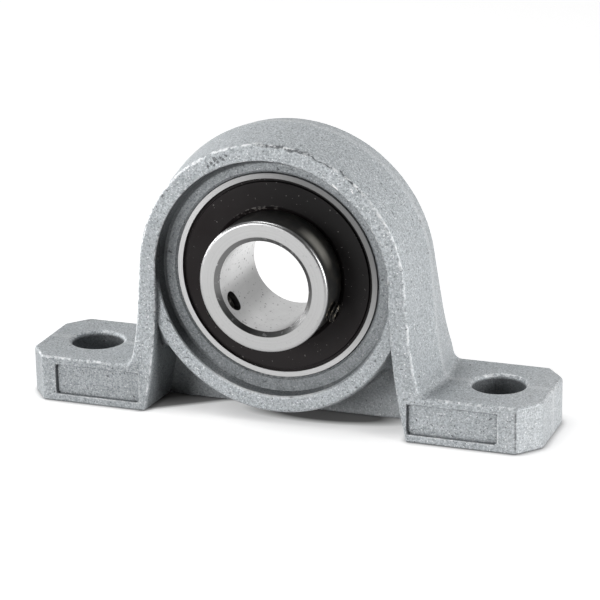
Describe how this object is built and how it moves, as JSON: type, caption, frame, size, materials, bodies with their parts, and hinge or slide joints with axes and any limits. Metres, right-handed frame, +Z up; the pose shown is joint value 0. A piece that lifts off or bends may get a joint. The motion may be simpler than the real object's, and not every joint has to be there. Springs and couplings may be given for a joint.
{
  "type": "pillow block bearing",
  "caption": "Small die-cast pillow block with a self-aligning insert bearing, sealed on both sides and locked to its shaft by set screws.",
  "frame": {"origin": "on the base plane, under the shaft axis and midway along the bolt line", "axes": "+X along the base, +Y along the shaft from the front (long end of the inner ring) to the back, +Z up"},
  "size_m": [0.0702, 0.0184, 0.0387],
  "materials": {
    "zinc_casting": "light grey zinc, grit blasted satin",
    "bearing_steel": "ground and polished",
    "ball_steel": "mirror polished",
    "cage_steel": "pressed strip, satin",
    "rivet_steel": "headed, satin",
    "seal_rubber": "moulded nitrile rubber, soft sheen",
    "core_steel": "pressed strip, satin",
    "screw_steel": "blackened, slightly oily"
  },
  "bodies": {
    "housing": {"housing": "zinc_casting"},
    "outer_race": {"outer_ring": "bearing_steel", "front_seal": "seal_rubber", "front_seal_core": "core_steel", "rear_seal": "seal_rubber", "rear_seal_core": "core_steel"},
    "inner_race": {"inner_ring": "bearing_steel"},
    "cage": {"cage_front": "cage_steel", "cage_rear": "cage_steel", "cage_rivets": "rivet_steel"},
    "ball_1": {"ball_1": "ball_steel"},
    "ball_2": {"ball_2": "ball_steel"},
    "ball_3": {"ball_3": "ball_steel"},
    "ball_4": {"ball_4": "ball_steel"},
    "ball_5": {"ball_5": "ball_steel"},
    "ball_6": {"ball_6": "ball_steel"},
    "ball_7": {"ball_7": "ball_steel"},
    "ball_8": {"ball_8": "ball_steel"},
    "set_screw_1": {"set_screw_1": "screw_steel"},
    "set_screw_2": {"set_screw_2": "screw_steel"}
  },
  "joints": [
    {"name": "self_align", "type": "hinge", "parent": "housing", "child": "outer_race", "pos_m": [0, -0.0015, 0.01965], "axis": [1, 0, 0], "range_deg": [-3, 3]},
    {"name": "ring_spin", "type": "hinge", "parent": "outer_race", "child": "inner_race", "pos_m": [0, -0.0015, 0.01965], "axis": [0, 1, 0], "continuous": true},
    {"name": "cage_orbit", "type": "hinge", "parent": "outer_race", "child": "cage", "pos_m": [0, -0.0015, 0.01965], "axis": [0, 1, 0], "continuous": true},
    {"name": "ball_1_spin", "type": "hinge", "parent": "cage", "child": "ball_1", "pos_m": [0, -0.0015, 0.02965], "axis": [0, 1, 0], "continuous": true},
    {"name": "ball_2_spin", "type": "hinge", "parent": "cage", "child": "ball_2", "pos_m": [-0.00707, -0.0015, 0.02672], "axis": [0, 1, 0], "continuous": true},
    {"name": "ball_3_spin", "type": "hinge", "parent": "cage", "child": "ball_3", "pos_m": [-0.01, -0.0015, 0.01965], "axis": [0, 1, 0], "continuous": true},
    {"name": "ball_4_spin", "type": "hinge", "parent": "cage", "child": "ball_4", "pos_m": [-0.00707, -0.0015, 0.01258], "axis": [0, 1, 0], "continuous": true},
    {"name": "ball_5_spin", "type": "hinge", "parent": "cage", "child": "ball_5", "pos_m": [0, -0.0015, 0.00965], "axis": [0, 1, 0], "continuous": true},
    {"name": "ball_6_spin", "type": "hinge", "parent": "cage", "child": "ball_6", "pos_m": [0.00707, -0.0015, 0.01258], "axis": [0, 1, 0], "continuous": true},
    {"name": "ball_7_spin", "type": "hinge", "parent": "cage", "child": "ball_7", "pos_m": [0.01, -0.0015, 0.01965], "axis": [0, 1, 0], "continuous": true},
    {"name": "ball_8_spin", "type": "hinge", "parent": "cage", "child": "ball_8", "pos_m": [0.00707, -0.0015, 0.02672], "axis": [0, 1, 0], "continuous": true},
    {"name": "set_screw_1_travel", "type": "slide", "parent": "inner_race", "child": "set_screw_1", "axis": [0.848, 0, 0.5299], "range_m": [-0.001, 0.00065]},
    {"name": "set_screw_2_travel", "type": "slide", "parent": "inner_race", "child": "set_screw_2", "axis": [-0.9336, 0, 0.3584], "range_m": [-0.001, 0.00065]}
  ],
  "couplings": [
    {"joint": "cage_orbit", "follows": "ring_spin", "ratio": 0.38095},
    {"joint": "ball_1_spin", "follows": "ring_spin", "ratio": -1.9809},
    {"joint": "ball_2_spin", "follows": "ring_spin", "ratio": -1.9809},
    {"joint": "ball_3_spin", "follows": "ring_spin", "ratio": -1.9809},
    {"joint": "ball_4_spin", "follows": "ring_spin", "ratio": -1.9809},
    {"joint": "ball_5_spin", "follows": "ring_spin", "ratio": -1.9809},
    {"joint": "ball_6_spin", "follows": "ring_spin", "ratio": -1.9809},
    {"joint": "ball_7_spin", "follows": "ring_spin", "ratio": -1.9809},
    {"joint": "ball_8_spin", "follows": "ring_spin", "ratio": -1.9809}
  ]
}
